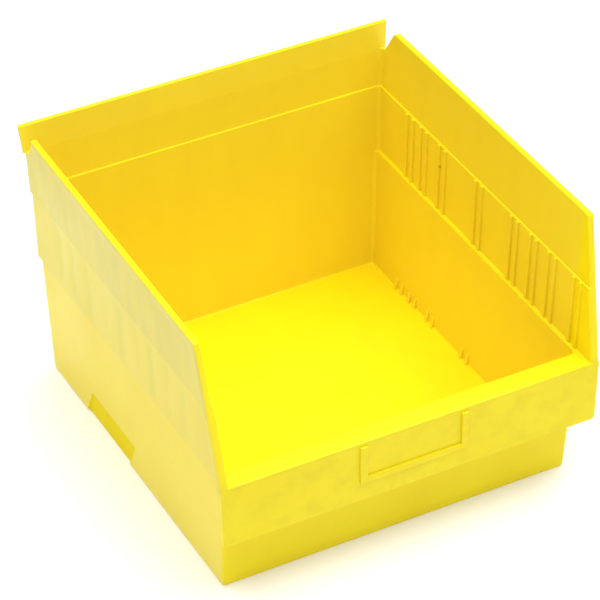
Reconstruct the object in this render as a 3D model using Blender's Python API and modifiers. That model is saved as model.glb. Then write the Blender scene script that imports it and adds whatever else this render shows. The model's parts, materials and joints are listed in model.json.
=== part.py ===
"""Shelf bin: a one-piece injection-moulded polypropylene bin with an open hopper front.

The moulding is laid out as its plain regions, one closed solid each, so that every wall stays a
simple shape around the open inside. Units are metres. The frame is +X to the bin's right, +Y to
its back, +Z up, with the origin on the resting surface at the middle of the bin's plan.
"""
import math

import bpy
import bmesh
from mathutils import Matrix, Vector

MM = 0.001

# ---------------------------------------------------------------- driving dimensions
HEIGHT = 203.2 * MM             # resting surface to rim
LIP_HALF = 141.9 * MM           # half the width over the hang lip and over the rear of the rim
LIP_BACK = 148.5 * MM           # back of the hang lip
HOLDER_FRONT = -148.5 * MM      # front of the label holder
APRON_FRONT = -146.75 * MM      # front face of the apron under the front ledge
WALL = 2.6 * MM                 # wall thickness
GAP = 0.3 * MM                  # clearance between neighbouring regions

# plan of the tub at the resting surface, and how far its walls lean out per unit of height
BASE_HALF = 129.6 * MM
BASE_FRONT = -126.0 * MM
BASE_BACK = 139.15 * MM
SIDE_LEAN = 0.035
BACK_LEAN = 0.032
FRONT_LEAN = 0.070

# the two steps in the walls; half widths are those at the back of the bin
STEP_TOP = 100.0 * MM           # top of the lower step and of the front ledge
SLOT_TOP = 152.8 * MM           # top of the upper step
SLOT_HALF = 136.0 * MM          # half width over the slot walls, at their foot
SLOT_HALF_TOP = 136.6 * MM      # half width over the slot walls, at the upper step
UPPER_HALF = 138.0 * MM         # half width over the upper walls, at the upper step
UPPER_HALF_TOP = 139.2 * MM     # half width over the upper walls, below the rim bead
MIDDLE_BACK_TOP = 143.95 * MM   # back of the middle back wall, at the upper step
UPPER_BACK = 145.45 * MM        # back of the upper back wall, at the upper step
UPPER_BACK_TOP = 146.0 * MM     # back of the upper back wall, where the lip starts

# the side walls spread towards the open front
SLOT_SPREAD = 1.0 * MM          # at the front edge of the slot walls
RIM_SPREAD = 2.4 * MM           # at the front end of the rim

# rim bead, hang lip and the corner notches beside the lip
BEAD_HEIGHT = 6.5 * MM
BEAD_WIDTH = 5.0 * MM
BEAD_CHAMFER = 0.8 * MM
LIP_FOOT = 182.0 * MM
LIP_THICK = 3.0 * MM
LIP_ROUND = 1.0 * MM
NOTCH_FLOOR = 185.5 * MM
NOTCH_TOP_Y = 127.0 * MM
NOTCH_FLOOR_Y = 138.0 * MM

# hopper: the side walls' front edges slope from the rim down to the front ledge
RIM_FRONT = -124.15 * MM
RIM_CORNER = 4.0 * MM

# front ledge, apron and its end webs
APRON_HALF = 138.6 * MM         # at the apron's foot
LEDGE_HALF = 139.7 * MM         # at the front ledge
APRON_FOOT = 52.3 * MM
APRON_CORNER = 5.0 * MM
WEB_FOOT = 64.0 * MM

# label holder: two bars and a rail that stand proud of the apron
HOLDER_HALF = 40.2 * MM
HOLDER_BAR = 5.5 * MM
HOLDER_FOOT = 67.5 * MM
HOLDER_RAIL = 4.5 * MM
HOLDER_TOP = 97.0 * MM

# divider guides: pairs of upright ribs, from the back to the front, with short stubs at the floor
GUIDE_Y = [96.5 * MM, 77.5 * MM, 52.0 * MM, 3.0 * MM, -43.5 * MM, -68.0 * MM, -91.0 * MM, -122.0 * MM]
RIB_WIDTH = 3.0 * MM
RIB_DEPTH = 1.6 * MM
SLOT_WIDTH = 5.0 * MM
STUB_PAIRS = 7                  # the frontmost guide stands over the front wall and has no stubs
STUB_HEIGHT = 8.0 * MM
STUB_DEPTH = 1.5 * MM
STUB_TAPER = 0.4                # depth at a stub's top, as a share of the depth at its foot

# shallow hand recess at the bottom edge of each side wall
RECESS_DEPTH = 1.4 * MM
RECESS_HEIGHT = 26.0 * MM
RECESS_LENGTH = 68.0 * MM
RECESS_FRONT = 15.0 * MM        # its front end at the resting surface
RECESS_SLANT = 13.0 * MM        # how far both ends run forward over its height

EDGE_ROUND = 0.6 * MM
SMALL_ROUND = 0.4 * MM          # on the ribs, the back ledge and the label holder
CORNER_ROUND = 2.2 * MM
CUT_CLEAR = 3.0 * MM            # how far a cutter reaches past the face it cuts

# ---------------------------------------------------------------- clean start and collections
for old in list(bpy.data.objects):
    bpy.data.objects.remove(old, do_unlink=True)

parts = bpy.data.collections.new("stackable_storage_bin")
cutters = bpy.data.collections.new("cutters")
bpy.context.scene.collection.children.link(parts)
bpy.context.scene.collection.children.link(cutters)


def make_material(name, colour, roughness):
    """Opaque moulded plastic."""
    material = bpy.data.materials.new(name)
    material.use_nodes = True
    shader = material.node_tree.nodes["Principled BSDF"]
    shader.inputs["Base Color"].default_value = (*colour, 1.0)
    shader.inputs["Roughness"].default_value = roughness
    shader.inputs["Metallic"].default_value = 0.0
    return material


YELLOW_SHADES = {
    "floor": make_material("floor_yellow", (0.95, 0.78, 0.010), 0.38),
    "wall": make_material("wall_yellow", (0.90, 0.62, 0.015), 0.42),
    "front": make_material("front_yellow", (0.86, 0.66, 0.020), 0.40),
    "ledge": make_material("ledge_yellow", (0.97, 0.80, 0.010), 0.36),
}


# ---------------------------------------------------------------- modelling helpers
def add_object(name, bm, collection, shade=None):
    """Turn a bmesh into a named object."""
    bmesh.ops.recalc_face_normals(bm, faces=bm.faces)
    mesh = bpy.data.meshes.new(name)
    bm.to_mesh(mesh)
    bm.free()
    obj = bpy.data.objects.new(name, mesh)
    collection.objects.link(obj)
    if shade:
        mesh.materials.append(YELLOW_SHADES[shade])
    return obj


def drafted_block(place):
    """A cube whose eight corners are put at place(i, j, k), each index 0 or 1 along X, Y, Z."""
    bm = bmesh.new()
    bmesh.ops.create_cube(bm, size=2.0)
    for vert in bm.verts:
        i, j, k = (int(c > 0.0) for c in vert.co)
        vert.co = Vector(place(i, j, k))
    bm.normal_update()
    return bm


def prism(near_end, far_end):
    """A closed bar between two end outlines that have the same number of points."""
    bm = bmesh.new()
    near = [bm.verts.new(co) for co in near_end]
    far = [bm.verts.new(co) for co in far_end]
    bm.faces.new(near)
    bm.faces.new(far)
    for n in range(len(near)):
        bm.faces.new((near[n - 1], near[n], far[n], far[n - 1]))
    bmesh.ops.recalc_face_normals(bm, faces=bm.faces)
    return bm


def profile_bar(profile, front, back):
    """A bar along Y with the outline profile(y) = [(x, z), ...]; its ends lie at front(z), back(z)."""
    near = [(x, front(z), z) for x, z in profile(front(STEP_TOP))]
    far = [(x, back(z), z) for x, z in profile(back(STEP_TOP))]
    return prism(near, far)


def round_chosen_edges(bm, keep, radius, segments=4):
    """Bevel the edges for which keep(midpoint, direction) is true."""
    chosen = []
    for edge in bm.edges:
        a, b = (v.co for v in edge.verts)
        if keep((a + b) / 2.0, (b - a).normalized()):
            chosen.append(edge)
    bmesh.ops.bevel(bm, geom=chosen, offset=radius, segments=segments, profile=0.5, affect="EDGES")


def mirror_x(bm):
    """The same shape on the bin's other side."""
    bmesh.ops.scale(bm, vec=(-1.0, 1.0, 1.0), verts=bm.verts)
    bmesh.ops.reverse_faces(bm, faces=bm.faces)
    return bm


def make_cutter(name, bm):
    obj = add_object(name, bm, cutters)
    obj.hide_render = True
    obj.display_type = "WIRE"
    return obj


def boolean(obj, tool, operation):
    modifier = obj.modifiers.new(tool.name, "BOOLEAN")
    modifier.operation = operation
    modifier.solver = "EXACT"
    modifier.object = tool


def round_edges(obj, width=EDGE_ROUND, segments=2):
    """Soften the moulded edges."""
    modifier = obj.modifiers.new("edge_round", "BEVEL")
    modifier.width = width
    modifier.segments = segments
    modifier.limit_method = "ANGLE"
    modifier.angle_limit = 0.9


def add_side_pair(suffix, make_bm, shade):
    """The same region on the left and on the right; returns both objects."""
    pair = []
    for side in ("left", "right"):
        bm = make_bm()
        if side == "left":
            mirror_x(bm)
        pair.append(add_object(f"{side}_{suffix}", bm, parts, shade))
    return pair


# ---------------------------------------------------------------- wall surfaces
def blend(t, t0, value0, t1, value1):
    return value0 + (value1 - value0) * (t - t0) / (t1 - t0)


def lower_half(z):
    return BASE_HALF + SIDE_LEAN * z


def lower_back(z):
    return BASE_BACK + BACK_LEAN * z


def lower_front(z):
    return BASE_FRONT - FRONT_LEAN * z


def slot_half(z, y):
    spread = blend(y, UPPER_BACK, 0.0, APRON_FRONT, SLOT_SPREAD)
    return spread + blend(z, STEP_TOP, SLOT_HALF, SLOT_TOP, SLOT_HALF_TOP)


def rim_spread(y):
    return blend(y, NOTCH_TOP_Y, 0.0, RIM_FRONT, RIM_SPREAD)


def upper_half(z, y):
    return rim_spread(y) + blend(z, SLOT_TOP, UPPER_HALF, HEIGHT - BEAD_HEIGHT, UPPER_HALF_TOP)


def middle_back(z):
    return blend(z, STEP_TOP, lower_back(STEP_TOP), SLOT_TOP, MIDDLE_BACK_TOP)


def upper_back(z):
    return blend(z, SLOT_TOP, UPPER_BACK, LIP_FOOT, UPPER_BACK_TOP)


def hopper_front(z):
    return blend(z, STEP_TOP, APRON_FRONT, HEIGHT, RIM_FRONT)


STEP_UNDER = STEP_TOP - WALL
SLOT_UNDER = SLOT_TOP - WALL

# ---------------------------------------------------------------- floor
floor_bm = drafted_block(lambda i, j, k: (
    (2 * i - 1) * lower_half(k * WALL),
    (lower_front(k * WALL), lower_back(k * WALL))[j],
    k * WALL,
))
round_chosen_edges(floor_bm, lambda mid, d: abs(d.z) > 0.5, CORNER_ROUND)
round_edges(add_object("floor_panel", floor_bm, parts, "floor"))

# ---------------------------------------------------------------- lower tub walls
LOWER_Z = (WALL + GAP, STEP_UNDER - GAP)


def lower_side_wall():
    bm = drafted_block(lambda i, j, k: (
        lower_half(LOWER_Z[k]) - (1 - i) * WALL,
        (lower_front(LOWER_Z[k]), lower_back(LOWER_Z[k]))[j],
        LOWER_Z[k],
    ))
    round_chosen_edges(
        bm, lambda mid, d: abs(d.z) > 0.5 and mid.x > lower_half(mid.z) - WALL / 2.0, CORNER_ROUND)
    return bm


def floor_stub(middle):
    """A short tapered stub that stands in the corner between the floor and a side wall."""
    def place(i, j, k):
        z = LOWER_Z[0] + k * STUB_HEIGHT
        face = lower_half(z) - WALL
        depth = STUB_DEPTH * (1.0, STUB_TAPER)[k]
        return ((face - depth, face + 0.5 * WALL)[i], middle + (j - 0.5) * RIB_WIDTH, z)

    return drafted_block(place)


def hand_recess():
    """A leaning shallow pocket, open at the resting surface."""
    def place(i, j, k):
        z = (-CUT_CLEAR, RECESS_HEIGHT)[k]
        y = RECESS_FRONT + j * RECESS_LENGTH - RECESS_SLANT * z / RECESS_HEIGHT
        return (lower_half(z) + (-RECESS_DEPTH, CUT_CLEAR)[i], y, z)

    return drafted_block(place)


for wall in add_side_pair("lower_wall", lower_side_wall, "wall"):
    tools = [("recess", hand_recess(), "DIFFERENCE")]
    for number, y in enumerate(GUIDE_Y[:STUB_PAIRS], start=1):
        for end, shift in (("rear", 1), ("front", -1)):
            stub = floor_stub(y + shift * (SLOT_WIDTH + RIB_WIDTH) / 2.0)
            tools.append((f"stub_{number}_{end}", stub, "UNION"))
    for tool_name, tool_bm, operation in tools:
        if wall.name.startswith("left"):
            mirror_x(tool_bm)
        boolean(wall, make_cutter(f"{wall.name}_{tool_name}", tool_bm), operation)

round_edges(add_object("front_lower_wall", drafted_block(lambda i, j, k: (
    (2 * i - 1) * (lower_half(LOWER_Z[k]) - WALL - GAP),
    lower_front(LOWER_Z[k]) + j * WALL,
    LOWER_Z[k],
)), parts, "front"))

round_edges(add_object("back_lower_wall", drafted_block(lambda i, j, k: (
    (2 * i - 1) * (lower_half(LOWER_Z[k]) - WALL - GAP),
    lower_back(LOWER_Z[k]) - (1 - j) * WALL,
    LOWER_Z[k],
)), parts, "wall"))

# ---------------------------------------------------------------- lower step and slot walls
LEDGE_INNER_Y = lower_front(STEP_TOP) + WALL
STEP_INNER_X = lower_half(STEP_UNDER) - WALL
SLOT_FOOT = STEP_TOP + GAP


def step_ledge():
    def place(i, j, k):
        y = (LEDGE_INNER_Y + GAP, middle_back(STEP_TOP))[j]
        return ((STEP_INNER_X, slot_half(STEP_TOP, y))[i], y, (STEP_UNDER, STEP_TOP)[k])

    return drafted_block(place)


def slot_wall_profile(y):
    """The slot wall with the upper step's flange turned outwards at its top."""
    return [
        (slot_half(SLOT_FOOT, y) - WALL, SLOT_FOOT),
        (slot_half(SLOT_FOOT, y), SLOT_FOOT),
        (slot_half(SLOT_UNDER, y), SLOT_UNDER),
        (upper_half(SLOT_TOP, y), SLOT_UNDER),
        (upper_half(SLOT_TOP, y), SLOT_TOP),
        (slot_half(SLOT_TOP, y) - WALL, SLOT_TOP),
    ]


def slot_wall():
    return profile_bar(slot_wall_profile, hopper_front, lambda z: middle_back(SLOT_TOP))


for ledge in add_side_pair("step_ledge", step_ledge, "ledge"):
    round_edges(ledge)
add_side_pair("slot_wall", slot_wall, "wall")


# ---------------------------------------------------------------- divider guides
def guide_rib(middle):
    """An upright rib on the inner face of a slot wall, from the lower step to the upper one."""
    def place(i, j, k):
        y = middle + (j - 0.5) * RIB_WIDTH
        z = (SLOT_FOOT, SLOT_TOP)[k]
        return (slot_half(z, y) - WALL - GAP - (1 - i) * RIB_DEPTH, y, z)

    return drafted_block(place)


for number, y in enumerate(GUIDE_Y, start=1):
    for end, shift in (("rear", 1), ("front", -1)):
        middle = y + shift * (SLOT_WIDTH + RIB_WIDTH) / 2.0
        for rib in add_side_pair(f"guide_{number}_{end}_rib", lambda m=middle: guide_rib(m), "wall"):
            round_edges(rib, SMALL_ROUND, 1)

# ---------------------------------------------------------------- middle back wall
MIDDLE_HALF = slot_half(STEP_TOP, UPPER_BACK) - WALL - GAP
middle_outline = [
    (middle_back(SLOT_FOOT) - WALL, SLOT_FOOT),
    (middle_back(SLOT_FOOT), SLOT_FOOT),
    (middle_back(SLOT_UNDER), SLOT_UNDER),
    (upper_back(SLOT_TOP), SLOT_UNDER),
    (upper_back(SLOT_TOP), SLOT_TOP),
    (middle_back(SLOT_TOP) - WALL, SLOT_TOP),
]
middle_bm = profile_bar(lambda y: middle_outline, lambda z: -MIDDLE_HALF, lambda z: MIDDLE_HALF)
bmesh.ops.rotate(middle_bm, verts=middle_bm.verts, cent=(0.0, 0.0, 0.0),
                 matrix=Matrix.Rotation(math.radians(90.0), 3, "Z"))
add_object("back_middle_wall", middle_bm, parts, "wall")

round_edges(add_object("back_step_ledge", drafted_block(lambda i, j, k: (
    (2 * i - 1) * (STEP_INNER_X - GAP),
    (lower_back(STEP_UNDER) - WALL, middle_back(STEP_TOP))[j],
    (STEP_UNDER, STEP_TOP)[k],
)), parts, "wall"), SMALL_ROUND)

# ---------------------------------------------------------------- upper walls and rim bead
UPPER_FOOT = SLOT_TOP + GAP
BEAD_UNDER = HEIGHT - BEAD_HEIGHT


def upper_wall_profile(y):
    rim = LIP_HALF + rim_spread(y)
    return [
        (upper_half(UPPER_FOOT, y) - WALL, UPPER_FOOT),
        (upper_half(UPPER_FOOT, y), UPPER_FOOT),
        (upper_half(BEAD_UNDER, y), BEAD_UNDER),
        (rim, BEAD_UNDER + BEAD_CHAMFER),
        (rim, HEIGHT),
        (rim - BEAD_WIDTH, HEIGHT),
    ]


def upper_wall():
    """From the hopper's slanted edge back to where the corner notch starts."""
    bm = profile_bar(upper_wall_profile, hopper_front, lambda z: NOTCH_TOP_Y)
    round_chosen_edges(
        bm, lambda mid, d: mid.z > HEIGHT - GAP and mid.y < 0.0 and abs(d.x) > 0.9, RIM_CORNER)
    return bm


def rear_corner_wall():
    """The end of a side wall under the corner notch, with its top edge running down to the back."""
    def outline(x_of):
        return [
            (x_of(UPPER_FOOT), NOTCH_TOP_Y + GAP, UPPER_FOOT),
            (x_of(UPPER_FOOT), UPPER_BACK, UPPER_FOOT),
            (x_of(NOTCH_FLOOR), UPPER_BACK, NOTCH_FLOOR),
            (x_of(NOTCH_FLOOR), NOTCH_FLOOR_Y, NOTCH_FLOOR),
            (x_of(HEIGHT - GAP), NOTCH_TOP_Y + GAP, HEIGHT - GAP),
        ]

    return prism(
        outline(lambda z: upper_half(z, NOTCH_TOP_Y) - WALL),
        outline(lambda z: upper_half(z, NOTCH_TOP_Y)),
    )


add_side_pair("upper_wall", upper_wall, "wall")
add_side_pair("rear_corner_wall", rear_corner_wall, "wall")

BACK_HALF = upper_half(SLOT_TOP, NOTCH_TOP_Y) - WALL - GAP
round_edges(add_object("back_upper_wall", drafted_block(lambda i, j, k: (
    (2 * i - 1) * BACK_HALF,
    upper_back((UPPER_FOOT, LIP_FOOT)[k]) - (1 - j) * WALL,
    (UPPER_FOOT, LIP_FOOT)[k],
)), parts, "wall"))

# ---------------------------------------------------------------- hang lip
round_edges(add_object("hang_lip", drafted_block(lambda i, j, k: (
    (2 * i - 1) * (BACK_HALF, LIP_HALF)[k],
    (UPPER_BACK_TOP, LIP_BACK)[k] - (1 - j) * (WALL, LIP_THICK)[k],
    (LIP_FOOT + GAP, HEIGHT)[k],
)), parts, "wall"), LIP_ROUND, 3)

# ---------------------------------------------------------------- front ledge, apron, webs
round_edges(add_object("front_ledge", drafted_block(lambda i, j, k: (
    (2 * i - 1) * LEDGE_HALF,
    (APRON_FRONT, LEDGE_INNER_Y)[j],
    (STEP_UNDER, STEP_TOP)[k],
)), parts, "ledge"), LIP_ROUND, 3)

APRON_Z = (APRON_FOOT, STEP_UNDER - GAP)
apron_bm = drafted_block(lambda i, j, k: (
    (2 * i - 1) * (APRON_HALF, LEDGE_HALF)[k],
    APRON_FRONT + j * WALL,
    APRON_Z[k],
))
round_chosen_edges(apron_bm, lambda mid, d: mid.z < APRON_FOOT + GAP and abs(d.y) > 0.9, APRON_CORNER)
round_edges(add_object("front_apron", apron_bm, parts, "front"))


def apron_web():
    """The upright web that ties one end of the apron to the tub's front corner."""
    def place(i, j, k):
        z = (WEB_FOOT, APRON_Z[1])[k]
        return (lower_half(z) - (1 - i) * WALL, (APRON_FRONT + WALL + GAP, lower_front(z) - GAP)[j], z)

    return drafted_block(place)


for web in add_side_pair("apron_web", apron_web, "front"):
    round_edges(web)

# ---------------------------------------------------------------- label holder
HOLDER_BACK = APRON_FRONT - GAP
round_edges(add_object("label_holder_rail", drafted_block(lambda i, j, k: (
    (2 * i - 1) * HOLDER_HALF,
    (HOLDER_FRONT, HOLDER_BACK)[j],
    HOLDER_FOOT + k * HOLDER_RAIL,
)), parts, "front"), SMALL_ROUND)


def holder_bar():
    return drafted_block(lambda i, j, k: (
        HOLDER_HALF - (1 - i) * HOLDER_BAR,
        (HOLDER_FRONT, HOLDER_BACK)[j],
        (HOLDER_FOOT + HOLDER_RAIL + GAP, HOLDER_TOP)[k],
    ))


for bar in add_side_pair("label_holder_bar", holder_bar, "front"):
    round_edges(bar, SMALL_ROUND)
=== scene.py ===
"""Looks of the stackable storage bin: the moulding's continuous skin, its ribs, plastic and light.

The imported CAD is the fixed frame. Numbers are millimetres in the CAD's own frame (+X right, +Y back,
+Z up, origin under the middle of the bin) and become metres when a mesh is made.
"""

import json
import math

import bmesh
import bpy
from mathutils import Matrix, Vector

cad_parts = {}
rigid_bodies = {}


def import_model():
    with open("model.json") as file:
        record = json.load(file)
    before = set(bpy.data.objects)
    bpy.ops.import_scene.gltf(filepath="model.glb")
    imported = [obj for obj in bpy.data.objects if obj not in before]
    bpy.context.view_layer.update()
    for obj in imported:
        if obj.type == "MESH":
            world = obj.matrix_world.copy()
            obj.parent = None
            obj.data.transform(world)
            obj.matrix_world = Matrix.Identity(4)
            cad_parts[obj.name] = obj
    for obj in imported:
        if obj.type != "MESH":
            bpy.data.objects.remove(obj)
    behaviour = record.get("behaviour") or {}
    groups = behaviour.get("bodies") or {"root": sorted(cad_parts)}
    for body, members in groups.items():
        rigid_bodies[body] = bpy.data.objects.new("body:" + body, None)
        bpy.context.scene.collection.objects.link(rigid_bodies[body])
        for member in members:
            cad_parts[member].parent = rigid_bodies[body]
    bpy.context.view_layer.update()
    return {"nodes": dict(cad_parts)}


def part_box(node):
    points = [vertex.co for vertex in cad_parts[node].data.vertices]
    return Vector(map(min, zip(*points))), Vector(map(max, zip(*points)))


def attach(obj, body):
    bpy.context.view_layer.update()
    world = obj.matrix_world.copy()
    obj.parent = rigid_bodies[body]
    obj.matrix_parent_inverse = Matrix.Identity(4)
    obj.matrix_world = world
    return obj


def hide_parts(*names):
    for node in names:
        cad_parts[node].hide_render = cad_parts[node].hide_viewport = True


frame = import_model()
MM = 0.001
BODY = "root"


# ---------------------------------------------------------------- sizes read from the CAD
def box_mm(node):
    """Lowest and highest corner of a CAD node, in millimetres."""
    low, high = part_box(node)
    return low / MM, high / MM


floor_box = box_mm("floor_panel")
lower_box = box_mm("right_lower_wall")
ledge_box = box_mm("front_ledge")
slot_box = box_mm("right_slot_wall")
upper_box = box_mm("right_upper_wall")
lip_box = box_mm("hang_lip")
apron_box = box_mm("front_apron")
web_box = box_mm("right_apron_web")
back_box = box_mm("back_upper_wall")

HEIGHT = upper_box[1].z
STEP_TOP = ledge_box[1].z               # lower step and front ledge
STEP_FOOT = ledge_box[0].z
SLOT_TOP = slot_box[1].z                # upper step
WALL = STEP_TOP - STEP_FOOT
SLOT_FOOT_OUT = SLOT_TOP - WALL         # underside of the upper step, outside
LIP_HALF = lip_box[1].x
LIP_BACK = lip_box[1].y
LIP_FOOT = back_box[1].z
APRON_FRONT = apron_box[0].y
APRON_FOOT = apron_box[0].z
LEDGE_HALF = ledge_box[1].x

# ---------------------------------------------------------------- skin details the CAD leaves plain
SLOT_HALF, SLOT_HALF_TOP = 135.8, 136.5         # outer face between the two steps
UPPER_HALF, UPPER_HALF_TOP = 137.3, 139.2       # outer face above the upper step
UPPER_INNER, UPPER_INNER_TOP = 135.4, 136.9     # inner face above the upper step
FRONT_SPREAD, FRONT_SPREAD_TOP = 0.4, 3.2       # how much wider the bin is at its open front
SPREAD_START = 127.0                            # y where that spread begins
MIDDLE_BACK, MIDDLE_BACK_TOP = 142.37, 143.95
UPPER_BACK, UPPER_BACK_TOP = 145.45, 146.0
RIM_FRONT = -124.15
RIM_CORNER = 4.0
BEAD_HEIGHT = 6.5
RIM_SPREAD = upper_box[1].x - LIP_HALF
EDGE_BEAD_HALF = LEDGE_HALF                     # bead on the slanted front edge, at the front ledge
EDGE_BEAD_WIDTH = 5.0
BEAD_TUCK = 0.4                                 # how much narrower its foot is, inside the front ledge
NOTCH_TOP_Y, NOTCH_FLOOR_Y, NOTCH_FLOOR = 127.0, 138.0, 185.5
CORNER_FLOOR = 183.2                            # top of the walls round the rear corners
NOTCH_CURVE = 4.0
OUTER_CORNER, INNER_CORNER = 3.2, 3.0
EDGE_ROUND = 1.0
RIM_ROUND, BEAD_ROUND = 0.95, 1.5               # top edges, inside and over the bead
FRONT_ROUND = 2.2                               # bullnose of the slanted front edge
ANCHOR_SIDE, ANCHOR_BACK = 131.6, 141.0         # the band's foot, hidden inside the tub wall
BACK_DROP = 0.5                                 # how much lower the band ends across the back
OVERLAP = 0.03                                  # how far joined solids reach past a shared face


def line(t, t0, value0, t1, value1):
    return value0 + (value1 - value0) * (t - t0) / (t1 - t0)


def limit(value, low=0.0, high=1.0):
    return max(low, min(high, value))


def smooth(value):
    value = limit(value)
    return value * value * (3.0 - 2.0 * value)


def lower_half(z):
    return line(z, floor_box[1].z, floor_box[1].x, lower_box[1].z, lower_box[1].x)


def lower_back(z):
    return line(z, floor_box[1].z, floor_box[1].y, lower_box[1].z, lower_box[1].y)


def lower_front(z):
    return line(z, floor_box[1].z, floor_box[0].y, lower_box[1].z, lower_box[0].y)


def spread(z, y):
    amount = line(z, STEP_TOP, FRONT_SPREAD, HEIGHT, FRONT_SPREAD_TOP)
    return amount * limit(line(y, SPREAD_START, 0.0, APRON_FRONT, 1.0))


def rim_half(y):
    return LIP_HALF + RIM_SPREAD * limit(line(y, SPREAD_START, 0.0, RIM_FRONT, 1.0))


def slot_outer(z, y):
    return line(z, STEP_TOP, SLOT_HALF, SLOT_TOP, SLOT_HALF_TOP) + spread(z, y)


def upper_outer(z, y):
    return line(z, SLOT_TOP, UPPER_HALF, HEIGHT, UPPER_HALF_TOP) + spread(z, y)


def upper_inner(z, y):
    return line(z, SLOT_TOP, UPPER_INNER, HEIGHT, UPPER_INNER_TOP) + spread(z, y)


def middle_back(z):
    return line(z, STEP_TOP, MIDDLE_BACK, SLOT_TOP, MIDDLE_BACK_TOP)


def upper_back(z):
    return line(z, SLOT_TOP, UPPER_BACK, LIP_FOOT, UPPER_BACK_TOP)


def edge_bead(z):
    """Outer face of the bead that runs down the slanted front edge."""
    return line(z, STEP_TOP, EDGE_BEAD_HALF, HEIGHT, LIP_HALF + RIM_SPREAD)


def front_edge(z):
    """y of the side wall's front edge: slanted, with a round corner where it meets the rim."""
    slope = (RIM_FRONT - APRON_FRONT) / (HEIGHT - STEP_TOP)
    straight = APRON_FRONT + OVERLAP + slope * (max(z, STEP_TOP) - STEP_TOP)
    centre_z = HEIGHT - RIM_CORNER
    if z <= centre_z:
        return straight
    half_angle = (math.pi / 2.0 + math.atan(slope)) / 2.0
    centre_y = RIM_FRONT + RIM_CORNER / math.tan(half_angle)
    arc = centre_y - math.sqrt(max(0.0, RIM_CORNER ** 2 - (z - centre_z) ** 2))
    return max(straight, arc)


# ---------------------------------------------------------------- mesh helpers
def new_object(name, bm):
    bmesh.ops.recalc_face_normals(bm, faces=bm.faces)
    mesh = bpy.data.meshes.new(name)
    bm.to_mesh(mesh)
    bm.free()
    obj = bpy.data.objects.new(name, mesh)
    bpy.context.scene.collection.objects.link(obj)
    return obj


def ladder_rungs(ring, turn):
    """Pairs of the rising points ring[:turn] and the falling points ring[turn:], in order of height."""
    rising, falling = 0, len(ring) - 1
    rungs = [(rising, falling)]
    while rising < turn - 1 or falling > turn:
        last = falling == turn
        if last or (rising < turn - 1 and ring[rising + 1][2] <= ring[falling - 1][2]):
            rising += 1
        else:
            falling -= 1
        rungs.append((rising, falling))
    return rungs


def loft(rings, rungs=None):
    """A closed solid through rings of points in millimetres.

    Each end is one flat face, or a ladder of faces between the pairs of points named in rungs.
    """
    bm = bmesh.new()
    rows = [[bm.verts.new(Vector(point) * MM) for point in ring] for ring in rings]
    for near, far in zip(rows, rows[1:]):
        for n in range(len(near)):
            bm.faces.new((near[n - 1], near[n], far[n], far[n - 1]))
    for end in (rows[0], rows[-1]):
        if not rungs:
            bm.faces.new(end)
            continue
        for (a, b), (c, d) in zip(rungs, rungs[1:]):
            bm.faces.new([end[n] for n in dict.fromkeys((a, c, d, b))])
    bmesh.ops.remove_doubles(bm, verts=bm.verts, dist=0.001 * MM)
    return bm


def rounded_rectangle(half, front, back, radius, z, steps=6):
    """Points round a rectangle with round corners."""
    points = []
    corners = (
        (half - radius, back - radius, 0.0),
        (-half + radius, back - radius, 90.0),
        (-half + radius, front + radius, 180.0),
        (half - radius, front + radius, 270.0),
    )
    for x, y, start in corners:
        for step in range(steps + 1):
            turn = math.radians(start + 90.0 * step / steps)
            points.append((x + radius * math.cos(turn), y + radius * math.sin(turn), z))
    return points


def drafted_block(place):
    """A cube whose eight corners are put at place(i, j, k), each index 0 or 1 along X, Y, Z."""
    bm = bmesh.new()
    bmesh.ops.create_cube(bm, size=2.0)
    for vert in bm.verts:
        i, j, k = (int(c > 0.0) for c in vert.co)
        vert.co = Vector(place(i, j, k)) * MM
    bmesh.ops.recalc_face_normals(bm, faces=bm.faces)
    return bm


# ---------------------------------------------------------------- tub: floor and lower walls
TUB_OUTER_CORNER, TUB_INNER_CORNER = 2.6, 3.0
FOOT_ROUND = 1.5
FLOOR_FILLET = 1.6
FRONT_INNER_ROUND = 2.0
FLOOR_TOP = floor_box[1].z
TUB_TOP = STEP_TOP - OVERLAP
TUB_RING_HEIGHTS = (35.0, 68.0)


def tub_ring(z, inset, radius, front_extra=0.0, back_extra=0.0):
    front = lower_front(z) + inset + front_extra
    back = lower_back(z) - inset + back_extra
    return rounded_rectangle(lower_half(z) - inset, front, back, radius, z)


def tub():
    arc = [math.radians(90.0 * n / 5) for n in range(6)]
    rings = []
    for turn in arc:
        drop = FOOT_ROUND * (1.0 - math.sin(turn))
        rings.append(tub_ring(FOOT_ROUND - FOOT_ROUND * math.cos(turn), drop, TUB_OUTER_CORNER))
    for z in (*TUB_RING_HEIGHTS, TUB_TOP):
        rings.append(tub_ring(z, 0.0, TUB_OUTER_CORNER))
    for turn in arc:
        side = EDGE_ROUND * (1.0 - math.sin(turn))
        ahead = FRONT_INNER_ROUND * (1.0 - math.sin(turn))
        z = TUB_TOP - EDGE_ROUND * (1.0 - math.cos(turn))
        ring = tub_ring(TUB_TOP, WALL - side, TUB_INNER_CORNER, side - ahead, -side)
        rings.append([(x, y, z) for x, y, _ in ring])
    for z in reversed(TUB_RING_HEIGHTS):
        rings.append(tub_ring(z, WALL, TUB_INNER_CORNER))
    for turn in arc:
        inset = FLOOR_FILLET * (1.0 - math.cos(turn))
        z = FLOOR_TOP + FLOOR_FILLET * (1.0 - math.sin(turn))
        rings.append(tub_ring(z, WALL + inset, max(0.4, TUB_INNER_CORNER - 0.6 * inset)))
    return loft(rings)


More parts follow.
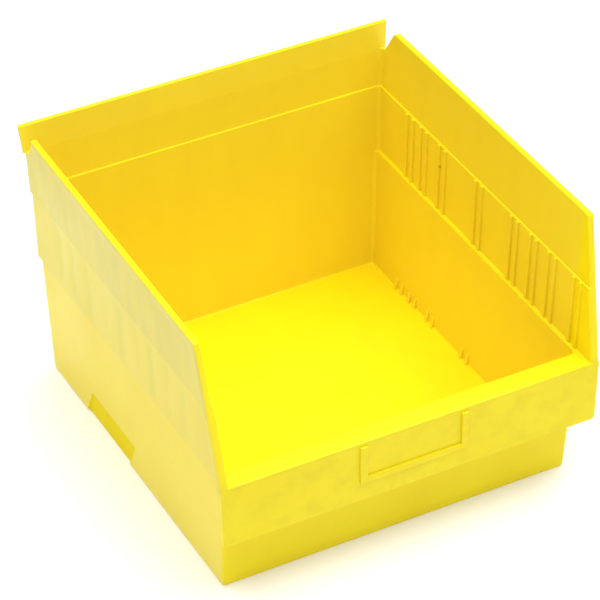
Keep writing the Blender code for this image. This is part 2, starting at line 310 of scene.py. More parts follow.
# ---------------------------------------------------------------- upper walls: one band round three sides
guide_boxes = {name: box_mm(name) for name in frame["nodes"] if "_guide_" in name}
GUIDE_MIDDLES = sorted(
    round((guide_boxes[name.replace("rear", "front")][0].y + high.y) / 2.0, 2)
    for name, (low, high) in guide_boxes.items() if name.startswith("right") and "rear" in name)
SINK_DEPTH = 0.45
SINK_WIDTH = 4.6
RIM_DIP = 0.4                                   # how far the rim dips per unit of bullnose
FRONT_STEPS, CORNER_STEPS = 7, 8
SECTIONS_AHEAD = (2.6, 3.8, 4.6, 4.8, 5.0, 5.2, 5.4, 6.5, 9.0)     # behind the slanted front edge
SECTIONS_BY_GUIDE = (-8.0, -5.5, -3.5, -1.8, 0.0, 1.8, 3.5, 5.5, 8.0)
SECTIONS_BETWEEN = (-106.0, -25.0, 25.0, 112.0)
SECTION_GAP = 0.7                               # the least distance between two sections
NOTCH_SECTIONS = (124.0, 125.0, 126.0, 127.0, 128.0, 129.0, 130.0, 132.0, 135.0)
RUN_IN_SHARES = (0.55, 0.8)


def sink(z, y):
    """How far the outer face sinks in behind each divider guide."""
    fade = smooth((z - STEP_TOP - 2.0) / 5.0) * smooth((SLOT_FOOT_OUT - 2.0 - z) / 5.0)
    depth = sum(math.exp(-((y - middle) / SINK_WIDTH) ** 2) for middle in GUIDE_MIDDLES)
    return SINK_DEPTH * fade * min(1.0, depth)


def band_rows(top, bead, y):
    """The band's section, outside up and inside down.

    Each row is (side x, back y, z, corner radius, way in from the outer or inner face, how far in the
    row already is, how much lower it lies across the back).
    """
    rows = []

    def add(side, back, z, radius, way=0.0, already=0.0, drop=0.0):
        rows.append((side, back, z, radius, way, already, drop))

    def outer(offset_side, offset_back, z, upper, already=0.0):
        side = upper_outer(z, y) if upper else slot_outer(z, y) - sink(z, y)
        back = upper_back(z) if upper else middle_back(z)
        add(side + offset_side, back + offset_back, z, OUTER_CORNER, -1.0, already)

    def inner(offset, z, upper, only_side=0.0, already=0.0, drop=0.0):
        side = upper_inner(z, y) if upper else slot_outer(z, y) - WALL
        back = (upper_back(z) if upper else middle_back(z)) - WALL - OVERLAP
        add(side + offset + only_side, back + offset, z, INNER_CORNER, 1.0, already, drop)

    add(ANCHOR_SIDE, ANCHOR_BACK, STEP_FOOT, INNER_CORNER)
    outer(-0.7, 0.0, STEP_FOOT, False)
    outer(-0.2, 0.0, STEP_FOOT + 0.2, False)
    outer(0.0, 0.0, STEP_FOOT + 0.7, False)
    for z in (STEP_TOP + 0.5, 103.0, 106.0, 116.0, 126.0, 138.0, 144.0, 147.5):
        outer(0.0, 0.0, z, False)
    outer(0.0, 0.0, SLOT_FOOT_OUT - 0.5, False)
    outer(0.2, 0.2, SLOT_FOOT_OUT - 0.1, False)
    outer(-0.5, -0.5, SLOT_FOOT_OUT, True)
    outer(-0.1, -0.1, SLOT_FOOT_OUT + 0.2, True)
    outer(0.0, 0.0, SLOT_FOOT_OUT + 0.6, True)
    bead_foot = top - BEAD_HEIGHT
    outer(0.0, 0.0, (SLOT_FOOT_OUT + bead_foot) / 2.0, True)
    proud = bead * (rim_half(y) - upper_outer(top, y))
    for share, rise in ((0.0, -0.4), (0.55, 0.0), (0.9, 0.4), (1.0, 1.1)):
        outer(share * proud, 0.0, bead_foot + rise, True)
    top_round = RIM_ROUND + bead * (BEAD_ROUND - RIM_ROUND)
    for share in (0.0, 0.1, 0.3, 0.6, 1.0):
        round_in = top_round * share
        round_down = top_round * (1.0 - math.sqrt(1.0 - (1.0 - share) ** 2))
        outer(proud - round_in, -round_in, top - round_down, True, round_in)
    for share in (1.0, 0.6, 0.3, 0.1, 0.0):
        round_in = RIM_ROUND * share
        round_down = RIM_ROUND * (1.0 - math.sqrt(1.0 - (1.0 - share) ** 2))
        inner(round_in, top - round_down, True, already=round_in)
    inner(0.0, (top + SLOT_TOP) / 2.0, True)
    inner(0.0, SLOT_TOP + 0.6, True)
    inner(-0.2, SLOT_TOP + 0.2, True)
    inner(-0.6, SLOT_TOP, True)
    inner(0.5, SLOT_TOP, False)
    inner(0.15, SLOT_TOP - 0.15, False)
    inner(0.0, SLOT_TOP - 0.5, False)
    inner(0.0, 126.0, False)
    inner(0.0, STEP_TOP + 0.9, False)
    inner(0.0, STEP_TOP + 0.25, False, only_side=-0.25, drop=BACK_DROP / 2.0)
    inner(0.0, STEP_TOP, False, only_side=-0.9, drop=BACK_DROP)
    step_side, step_back, _, radius, *_ = rows[-1]
    add(ANCHOR_SIDE, step_back, STEP_TOP, radius - (step_side - ANCHOR_SIDE), drop=BACK_DROP)
    return rows


OUTER_ROW_COUNT = sum(row[4] < 0.0 for row in band_rows(HEIGHT, 1.0, 0.0)) + 1


def wall_top(y):
    """Height of a side wall's top edge: level, then down into the rear corner notch."""
    slope = (HEIGHT - NOTCH_FLOOR) / (NOTCH_FLOOR_Y - NOTCH_TOP_Y)
    reach = NOTCH_CURVE * math.tan(math.atan(slope) / 2.0)
    start = NOTCH_TOP_Y - reach
    if y <= start:
        return HEIGHT
    turn_end = NOTCH_TOP_Y + reach * math.cos(math.atan(slope))
    if y < turn_end:
        return HEIGHT - NOTCH_CURVE + math.sqrt(max(0.0, NOTCH_CURVE ** 2 - (y - start) ** 2))
    return max(HEIGHT - slope * (y - NOTCH_TOP_Y), CORNER_FLOOR)


def front_section(sign, ahead, inset):
    """A section of a side wall that follows the slanted front edge at a distance."""
    bead = 1.0 - smooth((ahead - EDGE_BEAD_WIDTH + 0.4) / 0.8)
    ring = []
    for n, (_, _, z, _, way, already, _) in enumerate(band_rows(HEIGHT, 1.0, RIM_FRONT)):
        y = front_edge(z) + ahead
        side = band_rows(HEIGHT, 1.0, y)[n][0]
        if z > STEP_FOOT + 0.5 and way < 0.0:
            tuck = 0.0 if z > STEP_TOP else BEAD_TUCK
            side += bead * (edge_bead(z) - already - tuck - side)
        if z > STEP_TOP:
            side += way * max(0.0, inset - already)
        ring.append((sign * side, y, min(z, HEIGHT - RIM_DIP * inset)))
    return ring


def side_section(sign, y):
    bead = 1.0 - smooth((y - NOTCH_TOP_Y + 2.0) / 3.0)
    return [(sign * row[0], y, row[2]) for row in band_rows(wall_top(y), bead, y)]


def run_in_section(sign, share):
    """Between the last straight section and the start of the rear corner, row by row."""
    ring = []
    for n, (_, back, _, radius, *_) in enumerate(band_rows(CORNER_FLOOR, 0.0, UPPER_BACK)):
        y = line(share, 0.0, NOTCH_SECTIONS[-1], 1.0, back - radius)
        row = band_rows(wall_top(y), 0.0, y)[n]
        ring.append((sign * row[0], y, row[2]))
    return ring


def corner_section(sign, turn):
    ring = []
    for side, back, z, radius, _, _, drop in band_rows(CORNER_FLOOR, 0.0, UPPER_BACK):
        x = side - radius + radius * math.cos(turn)
        y = back - radius + radius * math.sin(turn)
        ring.append((sign * x, y, z - drop * math.sin(turn)))
    return ring


def side_stations():
    """Where a side wall has sections: closely behind each guide, and loosely in between."""
    stations = set(NOTCH_SECTIONS)
    for middle in GUIDE_MIDDLES:
        for offset in SECTIONS_BY_GUIDE:
            if SECTIONS_BETWEEN[0] < middle + offset < NOTCH_SECTIONS[0] - 1.0:
                stations.add(round(middle + offset, 2))
    stations.update(SECTIONS_BETWEEN)
    ordered = sorted(stations)
    return [y for n, y in enumerate(ordered) if n == 0 or y - ordered[n - 1] > SECTION_GAP]


def upper_band():
    half = []
    for n in range(FRONT_STEPS + 1):
        turn = math.radians(90.0 * n / FRONT_STEPS)
        half.append(lambda sign, t=turn: front_section(
            sign, FRONT_ROUND * (1.0 - math.cos(t)), FRONT_ROUND * (1.0 - math.sin(t))))
    for ahead in SECTIONS_AHEAD:
        half.append(lambda sign, a=ahead: front_section(sign, a, 0.0))
    for y in side_stations():
        half.append(lambda sign, at=y: side_section(sign, at))
    for share in RUN_IN_SHARES:
        half.append(lambda sign, s=share: run_in_section(sign, s))
    for n in range(CORNER_STEPS + 1):
        turn = math.radians(90.0 * n / CORNER_STEPS)
        half.append(lambda sign, t=turn: corner_section(sign, t))
    left = [make(-1.0) for make in half]
    right = [make(1.0) for make in reversed(half)]
    return loft(left + right, ladder_rungs(left[0], OUTER_ROW_COUNT))


# ---------------------------------------------------------------- hang lip
LIP_STRIP_FOOT = 176.0
LIP_STRIP_HALF = 131.5
LIP_FOOT_HALF = 139.8
LIP_INNER_TOP = 145.1
LIP_END_ROUND = 1.2
LIP_TOP_ROUND, LIP_TOP_STEPS = 1.1, 4
LIP_RING_HEIGHTS = (LIP_FOOT + 0.2, 188.0, 195.0)
LIP_OVERLAP_FRONT, LIP_OVERLAP_BACK = 0.08, 0.05


def hang_lip():
    """A strip on the back wall that grows into the lip, flared back and sideways."""
    def ring(z, half, inset=0.0):
        if z <= LIP_FOOT:
            front = upper_back(z) - WALL - LIP_OVERLAP_FRONT
            back = upper_back(z) + LIP_OVERLAP_BACK
        else:
            foot_front = UPPER_BACK_TOP - WALL - LIP_OVERLAP_FRONT
            front = line(z, LIP_FOOT, foot_front, HEIGHT, LIP_INNER_TOP)
            back = line(z, LIP_FOOT, UPPER_BACK_TOP + LIP_OVERLAP_BACK, HEIGHT, LIP_BACK)
        radius = LIP_END_ROUND - 0.9 * inset
        return rounded_rectangle(half - inset, front + inset, back - inset, radius, z, 4)

    def wide(z):
        return line(z, LIP_FOOT, LIP_FOOT_HALF, HEIGHT, LIP_HALF)

    rings = [ring(LIP_STRIP_FOOT, LIP_STRIP_HALF), ring(LIP_FOOT - 0.4, LIP_STRIP_HALF)]
    for z in LIP_RING_HEIGHTS:
        rings.append(ring(z, wide(z)))
    for n in range(LIP_TOP_STEPS + 1):
        turn = math.radians(90.0 * n / LIP_TOP_STEPS)
        z = HEIGHT - LIP_TOP_ROUND * (1.0 - math.sin(turn))
        rings.append(ring(z, wide(z), LIP_TOP_ROUND * (1.0 - math.cos(turn))))
    return loft(rings)


# ---------------------------------------------------------------- front ledge and apron
APRON_ROUND = 0.8
APRON_CORNER = 3.0
LEDGE_ROUND = 1.3
LEDGE_BACK = -132.4
LEDGE_LIFT = 0.015
LEDGE_NECK_Y, LEDGE_NECK_HALF = -141.6, 135.0   # behind the slanted edges' beads the ledge is narrower
APRON_FOOT_INSET = 1.1                          # how much narrower the apron's foot is on each side
APRON_SHARES = (0.0, 0.35, 0.7, 0.93)           # sections over the flat middle, as shares of the half width
APRON_CORNER_TURNS = (0.0, 15.0, 30.0, 45.0)
APRON_END_TURNS = (0.0, 30.0, 60.0, 85.0)
APRON_RUNGS = [(0, 18), (1, 17), (2, 16), (3, 16)] + [(n, 19 - n) for n in range(4, 10)]


def apron_foot(x, half):
    reach = limit(abs(x) - (half - APRON_CORNER), 0.0, APRON_CORNER)
    return APRON_FOOT + APRON_CORNER - math.sqrt(max(0.0, APRON_CORNER ** 2 - reach ** 2))


def front_ledge_and_apron():
    face = APRON_FRONT
    inside = APRON_FRONT + WALL
    top = STEP_TOP + LEDGE_LIFT
    foot_half = apron_box[1].x - APRON_FOOT_INSET

    def ring(share, inset):
        rows = [
            (face + 0.25 + 0.3 * inset, None, 0.25),
            (face + inset, None, APRON_ROUND),
            (face + inset, 70.0, 0.0),
            (face + inset, 85.0, 0.0),
            (face + inset, top - LEDGE_ROUND, 0.0),
            (face + 0.38 + 0.5 * inset, top - 0.38 - 0.5 * inset, 0.0),
            (face + LEDGE_ROUND, top - inset, 0.0),
            (LEDGE_NECK_Y, top - inset, 0.0),
            (LEDGE_NECK_Y + 1.0, top - inset, 0.0),
            (LEDGE_BACK, top - inset, 0.0),
            (LEDGE_BACK, STEP_FOOT + inset, 0.0),
            (LEDGE_NECK_Y + 1.0, STEP_FOOT + inset, 0.0),
            (LEDGE_NECK_Y, STEP_FOOT + inset, 0.0),
            (inside + 1.0, STEP_FOOT + inset, 0.0),
            (inside + 0.3 - 0.5 * inset, STEP_FOOT - 0.3 + 0.5 * inset, 0.0),
            (inside - inset, STEP_FOOT - 1.0, 0.0),
            (inside - inset, 70.0, 0.0),
            (inside - inset, None, APRON_ROUND),
            (inside - 0.25 - 0.3 * inset, None, 0.25),
        ]
        ring = []
        for y, z, lift in rows:
            level = APRON_FOOT if z is None else z
            half = line(level, APRON_FOOT, foot_half, STEP_TOP, LEDGE_HALF)
            if y > LEDGE_NECK_Y:
                half = LEDGE_NECK_HALF
            x = share * (half - inset)
            if z is None:
                z = apron_foot(x, half - inset) + lift + (inset if lift else 0.0)
            ring.append((x, y, z))
        return ring

    shares = list(APRON_SHARES)
    half = apron_box[1].x
    for degrees in APRON_CORNER_TURNS:
        shares.append((half - APRON_CORNER + APRON_CORNER * math.sin(math.radians(degrees))) / half)
    rings = [ring(share, 0.0) for share in shares]
    for degrees in APRON_END_TURNS:
        turn = math.radians(degrees)
        inset = APRON_ROUND * (1.0 - math.cos(turn))
        slip = APRON_ROUND * (1.0 - math.sin(turn)) / half
        rings.append(ring(1.0 - slip + inset / half, inset))
    mirrored = [[(-x, y, z) for x, y, z in one] for one in reversed(rings[1:])]
    return loft(mirrored + rings, APRON_RUNGS)


# ---------------------------------------------------------------- webs, floor stubs, hand recess
SMALL_ROUND = 0.5
WEB_INSET_FRONT, WEB_INSET_BACK = 1.8, 1.2      # from the apron's end and from the tub wall
WEB_REACH_FRONT, WEB_REACH_BACK = 0.7, 1.55     # into the apron and into the tub's front wall


def rounded_block(place, radius):
    """A drafted block with all its edges rounded."""
    bm = drafted_block(place)
    bmesh.ops.bevel(bm, geom=bm.edges[:], offset=radius * MM, segments=2, profile=0.5, affect="EDGES")
    return bm


def apron_web(sign):
    def place(i, j, k):
        z = (web_box[0].z, STEP_FOOT + 1.0)[k]
        outer = (apron_box[1].x - WEB_INSET_FRONT, lower_half(z) - WEB_INSET_BACK)[j]
        y = (APRON_FRONT + WALL - WEB_REACH_FRONT, lower_front(z) + WEB_REACH_BACK)[j]
        return (sign * (outer - i * WALL), y, z)

    return rounded_block(place, SMALL_ROUND)


STUB_HEIGHT = 8.3
STUB_DEPTH, STUB_DEPTH_TOP = 1.05, 0.5
STUB_FOOT_FLARE = 1.6                           # how much further the stub's foot stands out
STUB_ROUND = 0.22
RIB_WIDTH = 3.0


def floor_stub(sign, middle):
    def place(i, j, k):
        z = FLOOR_TOP - 0.5 + k * (STUB_HEIGHT + 0.5)
        face = lower_half(z) - WALL
        depth = (STUB_DEPTH + STUB_FOOT_FLARE, STUB_DEPTH_TOP)[k]
        return (sign * (face - depth, face + 1.0)[i], middle + (j - 0.5) * RIB_WIDTH, z)

    return rounded_block(place, STUB_ROUND)


RECESS_DEPTH, RECESS_DEPTH_TOP, RECESS_HEIGHT = 1.9, 0.7, 24.0
RECESS_FRONT, RECESS_LENGTH, RECESS_SLANT = 15.0, 68.0, 13.0


def hand_recess(sign):
    def place(i, j, k):
        z = (-3.0, RECESS_HEIGHT)[k]
        y = RECESS_FRONT + j * RECESS_LENGTH - RECESS_SLANT * z / RECESS_HEIGHT
        depth = (RECESS_DEPTH, RECESS_DEPTH_TOP)[k]
        return (sign * (lower_half(z) + (-depth, 3.0)[i]), y, z)

    return rounded_block(place, SMALL_ROUND)


def outer_half(z, y):
    """Half width over the outer faces of the side walls."""
    if z < STEP_FOOT:
        return lower_half(z)
    return slot_outer(z, y) if z < SLOT_FOOT_OUT else upper_outer(z, y)


def on_outer_side(face):
    """True for the outer faces of the side walls, which come polished out of the mould."""
    centre = face.center / MM
    return abs(face.normal.x) > 0.7 and abs(centre.x) > outer_half(centre.z, centre.y) - SINK_DEPTH - 0.5


def in_recess(face):
    """True for the faces of the hand recesses, which are moulded with a coarser, duller finish."""
    centre = face.center / MM
    front = RECESS_FRONT - RECESS_SLANT * centre.z / RECESS_HEIGHT
    return (centre.z < RECESS_HEIGHT + 0.3 and front - 0.3 < centre.y < front + RECESS_LENGTH + 0.3
            and 0.12 < lower_half(centre.z) - abs(centre.x) < RECESS_DEPTH + 0.4
            and centre.x * face.normal.x > 0.2 * abs(centre.x))


# ---------------------------------------------------------------- the shell
def combine(base, tools):
    """Join closed solids to the base (or cut them from it) and leave one mesh."""
    for number, (bm, operation) in enumerate(tools):
        tool = new_object(f"tool_{number}", bm)
        modifier = base.modifiers.new(f"join_{number}", "BOOLEAN")
        modifier.operation = operation
        modifier.solver = "EXACT"
        modifier.object = tool
    result = bpy.data.meshes.new_from_object(base.evaluated_get(bpy.context.evaluated_depsgraph_get()))
    base.modifiers.clear()
    base.data = result
    for number in range(len(tools)):
        bpy.data.objects.remove(bpy.data.objects[f"tool_{number}"])
    return base


SHELL_SHARP, SMALL_SHARP = 32.0, 40.0           # degrees above which an edge stays crisp


def shade(obj, angle):
    """Smooth shading with the moulding's crisp edges kept."""
    obj.data.shade_smooth()
    obj.data.set_sharp_from_angle(angle=math.radians(angle))
    modifier = obj.modifiers.new("weighted", "WEIGHTED_NORMAL")
    modifier.keep_sharp = True
    modifier.weight = 80


solids = [
    (upper_band(), "UNION"),
    (hang_lip(), "UNION"),
    (front_ledge_and_apron(), "UNION"),
    (apron_web(-1.0), "UNION"),
    (apron_web(1.0), "UNION"),
]
for name, (low, high) in sorted(guide_boxes.items()):
    middle = (low.y + high.y) / 2.0
    if middle - RIB_WIDTH > lower_front(0.0) + 12.0:
        solids.append((floor_stub(-1.0 if name.startswith("left") else 1.0, middle), "UNION"))
solids += [(hand_recess(-1.0), "DIFFERENCE"), (hand_recess(1.0), "DIFFERENCE")]
shell = combine(new_object("bin_shell", tub()), solids)
shade(shell, SHELL_SHARP)

# ---------------------------------------------------------------- divider guide ribs
RIB_PROUD = 1.6
RIB_ROUND = 0.55


def guide_rib(low, high):
    """An upright rib with a round nose, from the lower step to the upper one."""
    sign = 1.0 if low.x > 0.0 else -1.0
    middle = (low.y + high.y) / 2.0

    def place(i, j, k):
        z = (STEP_TOP - 0.3, SLOT_TOP + 0.02)[k]
        face = slot_outer(z, middle) - WALL
        return (sign * (face - RIB_PROUD, face + 0.6)[i], middle + (j - 0.5) * RIB_WIDTH, z)

    bm = drafted_block(place)
    nose = []
    for edge in bm.edges:
        a, b = (vert.co / MM for vert in edge.verts)
        middle_x = abs(a.x + b.x) / 2.0
        if middle_x < slot_outer(a.z, middle) - WALL - 0.5 and max(a.z, b.z) > STEP_TOP:
            nose.append(edge)
    bmesh.ops.bevel(bm, geom=nose, offset=RIB_ROUND * MM, segments=4, profile=0.5, affect="EDGES")
    return bm


pieces = {shell: [n for n in frame["nodes"] if n not in guide_boxes and "label_holder" not in n]}
for name, (low, high) in sorted(guide_boxes.items()):
    rib = new_object(f"{name}_moulded", guide_rib(low, high))
    shade(rib, SMALL_SHARP)
    pieces[rib] = [name]

# ---------------------------------------------------------------- label holder: one raised U frame
rail_box = box_mm("label_holder_rail")
bar_box = box_mm("right_label_holder_bar")
HOLDER_ROUND = 0.55


def label_holder():
    front = rail_box[0].y
    back = APRON_FRONT + 0.4
    out, rail = rail_box[1].x, rail_box[1].z
    foot, top = rail_box[0].z, bar_box[1].z
    inside = bar_box[0].x
    outline = [
        (-out, foot), (out, foot), (out, top), (inside, top),
        (inside, rail), (-inside, rail), (-inside, top), (-out, top),
    ]
    bm = loft([[(x, y, z) for x, z in outline] for y in (back, front)])
    raised = [e for e in bm.edges if all(abs(v.co.y - front * MM) < 0.01 * MM for v in e.verts)]
    uprights = [e for e in bm.edges if abs(e.verts[0].co.y - e.verts[1].co.y) > 0.5 * MM]
    bmesh.ops.bevel(
        bm, geom=raised + uprights, offset=HOLDER_ROUND * MM, segments=3, profile=0.5, affect="EDGES")
    return bm


holder = new_object("label_holder_frame", label_holder())
shade(holder, SMALL_SHARP)
pieces[holder] = ["label_holder_rail", "left_label_holder_bar", "right_label_holder_bar"]


# ---------------------------------------------------------------- plastic
YELLOW, YELLOW_DEEP = (0.95, 0.79, 0.006, 1.0), (0.93, 0.74, 0.006, 1.0)
YELLOW_WALL_SHEEN = (0.925, 0.745, 0.034, 1.0)      # painted sheen and shade: paler, duller yellow on upright faces, mostly the inner walls
YELLOW_WALL_SHEEN_DEEP = (0.91, 0.72, 0.034, 1.0)
YELLOW_BAND_SHADE = (0.73, 0.63, 0.065, 1.0)        # painted shade and sheen: greyer outer bands above the steps
YELLOW_SINK_SHADE = (0.84, 0.72, 0.012, 1.0)          # painted shade in the sink marks behind the divider guides
YELLOW_SCUFFED = (0.79, 0.655, 0.010, 1.0)      # rubbed patches on the apron
YELLOW_MARK = (0.45, 0.30, 0.01, 1.0)
MOULD_MARK = Vector((133.5, 54.0, 135.6)) * MM  # small dark speck on the inner face of the right wall
WALL_SHEEN_START = -117.0                           # y of the frontmost upright faces that get the painted sheen
PLASTIC_IOR = 1.5


class Nodes:
    """Short forms for building a shader tree."""

    def __init__(self, material):
        self.tree = material.node_tree

    def add(self, kind, inputs=None, **settings):
        node = self.tree.nodes.new(kind)
        for key, value in settings.items():
            setattr(node, key, value)
        for key, value in (inputs or {}).items():
            if isinstance(value, bpy.types.NodeSocket):
                self.tree.links.new(value, node.inputs[key])
            else:
                node.inputs[key].default_value = value
        return node

    def noise(self, vector, scale, detail=3.0, roughness=0.5):
        node = self.add("ShaderNodeTexNoise", {
            "Vector": vector, "Scale": scale, "Detail": detail, "Roughness": roughness})
        return node.outputs["Fac"]

    def remap(self, value, low, high, to_low, to_high):
        node = self.add("ShaderNodeMapRange", {
            "Value": value, "From Min": low, "From Max": high, "To Min": to_low, "To Max": to_high})
        return node.outputs["Result"]

    def math(self, operation, a, b):
        return self.add("ShaderNodeMath", {0: a, 1: b}, operation=operation).outputs[0]

    def scaled(self, vector, factors):
        node = self.add("ShaderNodeVectorMath", {0: vector, 1: factors}, operation="MULTIPLY")
        return node.outputs[0]

    def mix(self, factor, a, b):
        node = self.add("ShaderNodeMix", data_type="RGBA")
        for socket, value in ((node.inputs[0], factor), (node.inputs[6], a), (node.inputs[7], b)):
            if isinstance(value, bpy.types.NodeSocket):
                self.tree.links.new(value, socket)
            else:
                socket.default_value = value
        return node.outputs[2]


def moulded_plastic(name, rougher=0.0, specular=0.4, band_shade=0.0, scuffs_and_sheen=0.0):
    """Yellow plastic with flow marks, grain and painted shade in the sink marks; on request painted shade
    and sheen on the outer bands above the steps, or a scuffed apron and painted sheen and shade on upright
    faces.
    """
    material = bpy.data.materials.new(name)
    material.use_nodes = True
    nodes = Nodes(material)
    shader = material.node_tree.nodes["Principled BSDF"]
    place = nodes.add("ShaderNodeTexCoord").outputs["Object"]
    cloud = nodes.noise(place, 14.0, 2.0)
    flow = nodes.noise(nodes.scaled(place, (1.0, 1.0, 0.25)), 60.0, 4.0)
    tone = nodes.remap(nodes.math("ADD", cloud, nodes.math("MULTIPLY", flow, 0.5)), 0.55, 1.0, 0.0, 1.0)
    # painted shade: the sink marks behind the divider guides are darkened in colour
    sink_shade = nodes.add("ShaderNodeAttribute", attribute_name="behind_guides").outputs["Fac"]
    sink_shade = nodes.math("MULTIPLY", sink_shade, nodes.remap(flow, 0.35, 0.65, 0.25, 1.0))
    colour = nodes.mix(sink_shade, nodes.mix(tone, YELLOW, YELLOW_DEEP), YELLOW_SINK_SHADE)
    if band_shade:
        height = nodes.add("ShaderNodeSeparateXYZ", {0: place}).outputs[2]
        # painted shade and sheen: the outer bands above each step turn greyer
        above = nodes.math(
            "ADD", nodes.remap(height, (STEP_FOOT - 0.2) * MM, (STEP_FOOT + 0.6) * MM, 0.0, 0.5 * band_shade),
            nodes.remap(height, (SLOT_FOOT_OUT - 0.2) * MM, (SLOT_FOOT_OUT + 0.6) * MM, 0.0, 0.5 * band_shade))
        above = nodes.math("MULTIPLY", above, nodes.remap(flow, 0.3, 0.7, 0.6, 1.0))
        colour = nodes.mix(above, colour, YELLOW_BAND_SHADE)
    if scuffs_and_sheen:
        depth = nodes.add("ShaderNodeSeparateXYZ", {0: place}).outputs[1]
        facing = nodes.add("ShaderNodeSeparateXYZ", {
            0: nodes.add("ShaderNodeNewGeometry").outputs["Normal"]}).outputs[2]
        # painted sheen and shade: upright faces behind the front get a paler, duller yellow
        walls = nodes.math(
            "MULTIPLY", nodes.remap(facing, 0.15, 0.6, 1.0, 0.0),
            nodes.remap(depth, (WALL_SHEEN_START - 4.0) * MM, WALL_SHEEN_START * MM, 0.0, 1.0))
        sheen_colour = nodes.mix(nodes.remap(flow, 0.3, 0.7, 0.0, 1.0), YELLOW_WALL_SHEEN, YELLOW_WALL_SHEEN_DEEP)
        colour = nodes.mix(walls, colour, sheen_colour)
        ahead = nodes.remap(depth, (APRON_FRONT + 1.5) * MM, (APRON_FRONT + 0.5) * MM, 0.0, scuffs_and_sheen)
        patches = nodes.remap(nodes.noise(place, 60.0, 6.0, 0.65), 0.44, 0.66, 0.5, 0.95)
        colour = nodes.mix(nodes.math("MULTIPLY", ahead, patches), colour, YELLOW_SCUFFED)
    away = nodes.add("ShaderNodeVectorMath", {0: place, 1: MOULD_MARK}, operation="DISTANCE").outputs[1]
    colour = nodes.mix(nodes.remap(away, 0.8 * MM, 1.6 * MM, 0.6, 0.0), colour, YELLOW_MARK)
    scuff = nodes.noise(nodes.scaled(place, (1.0, 1.0, 0.5)), 420.0, 6.0, 0.7)
    roughness = nodes.remap(nodes.math("ADD", cloud, scuff), 0.6, 1.4, 0.30 + rougher, 0.48 + rougher)
    grain = nodes.noise(place, 1900.0, 2.0)
    waves = nodes.noise(place, 35.0, 1.0)
    fine = nodes.add("ShaderNodeBump", {"Height": grain, "Strength": 0.06, "Distance": 0.0002})
    broad = nodes.add("ShaderNodeBump", {
        "Height": waves, "Strength": 0.25, "Distance": 0.001, "Normal": fine.outputs[0]})
    material.node_tree.links.new(colour, shader.inputs["Base Color"])
    material.node_tree.links.new(roughness, shader.inputs["Roughness"])
    material.node_tree.links.new(broad.outputs[0], shader.inputs["Normal"])
    shader.inputs["IOR"].default_value = PLASTIC_IOR
    shader.inputs["Specular IOR Level"].default_value = specular
    return material


plastic = moulded_plastic("moulded_yellow_plastic", specular=0.22, scuffs_and_sheen=0.9)
grip_plastic = moulded_plastic("matte_yellow_plastic", rougher=0.3, specular=0.1)
polished_plastic = moulded_plastic("polished_yellow_plastic", specular=0.7, band_shade=0.9)
for piece, nodes_replaced in pieces.items():
    piece.data.materials.clear()
    piece.data.materials.append(plastic)
    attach(piece, BODY)
    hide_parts(*nodes_replaced)

shell.data.materials.append(grip_plastic)
shell.data.materials.append(polished_plastic)
for face in shell.data.polygons:
    face.material_index = 1 if in_recess(face) else 2 if on_outer_side(face) else 0
# mask for the painted shade in the sink marks behind the divider guides
streaks = shell.data.attributes.new("behind_guides", "FLOAT", "POINT")
for vertex, value in zip(shell.data.vertices, streaks.data):
    x, y, z = vertex.co / MM
    outside = abs(x) > outer_half(z, y) - SINK_DEPTH - 0.3
    value.value = sink(z, y) / SINK_DEPTH if outside and y > APRON_FRONT + 4.0 else 0.0

# ---------------------------------------------------------------- floor
WHITE, PAPER = (1.0, 1.0, 1.0, 1.0), (0.95, 0.95, 0.95, 1.0)
FLOOR_HALF, FLOOR_DROP = 6.0, 0.0002            # metres
PAPER_GLOW = 0.15

floor_bm = bmesh.new()
bmesh.ops.create_grid(floor_bm, x_segments=2, y_segments=2, size=FLOOR_HALF)
studio_floor = new_object("studio_floor", floor_bm)
studio_floor.location.z = -FLOOR_DROP
paper = bpy.data.materials.new("pale_floor")
paper.use_nodes = True
paper_inputs = paper.node_tree.nodes["Principled BSDF"].inputs
paper_inputs["Base Color"].default_value = PAPER
paper_inputs["Roughness"].default_value = 0.9
paper_inputs["Emission Color"].default_value = WHITE
paper_inputs["Emission Strength"].default_value = PAPER_GLOW
studio_floor.data.materials.append(paper)

# ---------------------------------------------------------------- light
SKY_STRENGTH = 0.39
OVERHEAD_PLACE, OVERHEAD_AIM = (0.15, -0.15, 2.2), (0.15, -0.15, 0.0)
OVERHEAD_SIZE, OVERHEAD_POWER = 2.6, 73.0

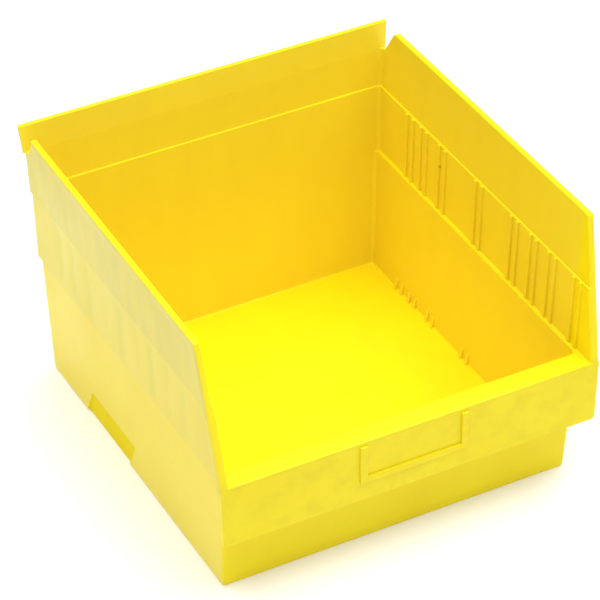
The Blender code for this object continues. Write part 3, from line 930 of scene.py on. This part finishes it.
world = bpy.data.worlds.new("studio")
world.use_nodes = True
world.node_tree.nodes["Background"].inputs["Color"].default_value = WHITE
world.node_tree.nodes["Background"].inputs["Strength"].default_value = SKY_STRENGTH
bpy.context.scene.world = world


def soft_light(name, place, aim, size, power):
    data = bpy.data.lights.new(name, "AREA")
    data.shape = "SQUARE"
    data.size = size
    data.energy = power
    obj = bpy.data.objects.new(name, data)
    obj.location = place
    obj.rotation_mode = "QUATERNION"
    obj.rotation_quaternion = (Vector(aim) - Vector(place)).to_track_quat("-Z", "Y")
    bpy.context.scene.collection.objects.link(obj)


soft_light("overhead", OVERHEAD_PLACE, OVERHEAD_AIM, OVERHEAD_SIZE, OVERHEAD_POWER)

# ---------------------------------------------------------------- camera
AZIMUTH, ELEVATION, ROLL = math.radians(-27.658), math.radians(36.912), math.radians(-0.454)
DISTANCE = 2.16018                              # metres, like the lines below
TARGET = Vector((0.0, 0.00085, 0.090))
SLIDE_RIGHT, SLIDE_UP = -0.004439, 0.010415
LENS, SENSOR = 191.777, 36.0

back = Vector((
    math.sin(AZIMUTH) * math.cos(ELEVATION), -math.cos(AZIMUTH) * math.cos(ELEVATION), math.sin(ELEVATION)))
right = Vector((math.cos(AZIMUTH), math.sin(AZIMUTH), 0.0))
up = back.cross(right)
axis_x = math.cos(ROLL) * right + math.sin(ROLL) * up
axis_y = -math.sin(ROLL) * right + math.cos(ROLL) * up
camera_data = bpy.data.cameras.new("camera")
camera_data.lens = LENS
camera_data.sensor_width = SENSOR
camera_data.sensor_fit = "HORIZONTAL"
camera_data.clip_start, camera_data.clip_end = 0.1, 20.0
camera = bpy.data.objects.new("camera", camera_data)
bpy.context.scene.collection.objects.link(camera)
turned = Matrix((axis_x, axis_y, back)).transposed()
place = TARGET + right * SLIDE_RIGHT + up * SLIDE_UP + back * DISTANCE
camera.matrix_world = Matrix.Translation(place) @ turned.to_4x4()
bpy.context.scene.camera = camera
bpy.context.scene.view_settings.view_transform = "Standard"

bpy.context.view_layer.update()
